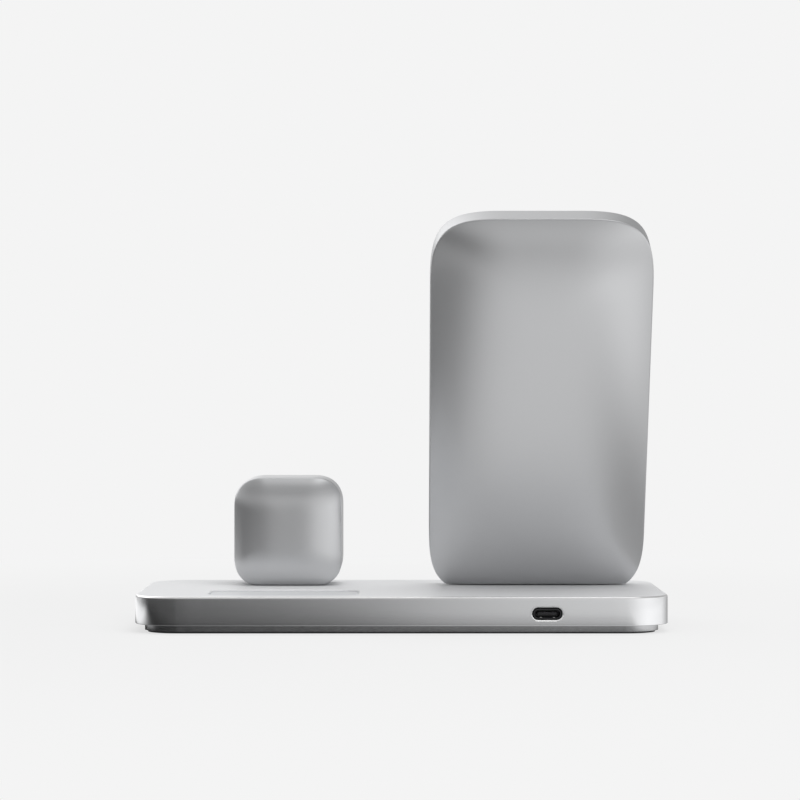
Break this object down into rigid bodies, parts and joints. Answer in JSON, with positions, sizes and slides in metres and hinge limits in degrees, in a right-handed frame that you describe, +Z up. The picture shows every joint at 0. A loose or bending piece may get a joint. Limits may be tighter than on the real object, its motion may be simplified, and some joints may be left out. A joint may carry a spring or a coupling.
{
  "type": "wireless charging stand",
  "caption": "Free-standing charging stand: low base with a leaning phone panel, an upright watch block, a shallow earbud place and a USB-C inlet in the rear wall.",
  "frame": {"origin": "centre of the base's underside, on the surface that it stands on", "axes": "+X along the base towards the watch block, +Y towards the rear wall with the USB-C inlet, +Z up"},
  "size_m": [0.1726, 0.086, 0.1363],
  "materials": {
    "satin_silver": "bead-blasted satin",
    "shell_silver": "satin silver paint on plastic",
    "foot_grey": "satin moulded",
    "cover_grey": "soft-touch matt",
    "rubber_grey": "matt",
    "rest_rubber": "matt silicone",
    "steel": "zinc plated",
    "socket_steel": "plated",
    "board_green": "solder mask",
    "chip_black": "moulded epoxy",
    "ceramic_tan": "fired ceramic",
    "copper": "enamelled wire",
    "ferrite": "sintered",
    "white_plastic": "moulded",
    "flex_amber": "polyimide film",
    "magnet_nickel": "nickel plated"
  },
  "bodies": {
    "root": {"base_housing": "satin_silver", "base_plate": "foot_grey", "foot_pad": "rubber_grey", "plate_screws": "steel", "ballast_plate": "steel", "main_board": "board_green", "board_screws": "steel", "board_inductors": "ferrite", "board_chips": "chip_black", "board_capacitors": "ceramic_tan", "usb_shell": "socket_steel", "usb_tongue": "chip_black", "earbud_insert": "cover_grey", "earbud_coil": "copper", "earbud_ferrite": "ferrite", "earbud_coil_holder": "white_plastic", "earbud_flex": "flex_amber", "ledge_pad": "rest_rubber", "phone_back_shell": "shell_silver", "phone_front_cover": "cover_grey", "phone_coil_tray": "white_plastic", "phone_ferrite": "ferrite", "phone_coil_upper": "copper", "phone_coil_lower": "copper", "phone_flex": "flex_amber", "phone_bracket": "steel", "phone_bracket_screws": "steel", "phone_base_screws": "steel", "watch_back_shell": "shell_silver", "watch_front_cover": "cover_grey", "watch_puck": "white_plastic", "watch_magnet": "magnet_nickel", "watch_coil": "copper", "watch_ferrite": "ferrite", "watch_board": "board_green", "watch_flex": "flex_amber", "watch_bracket": "steel", "watch_bracket_screws": "steel", "watch_base_screws": "steel"}
  },
  "joints": []
}
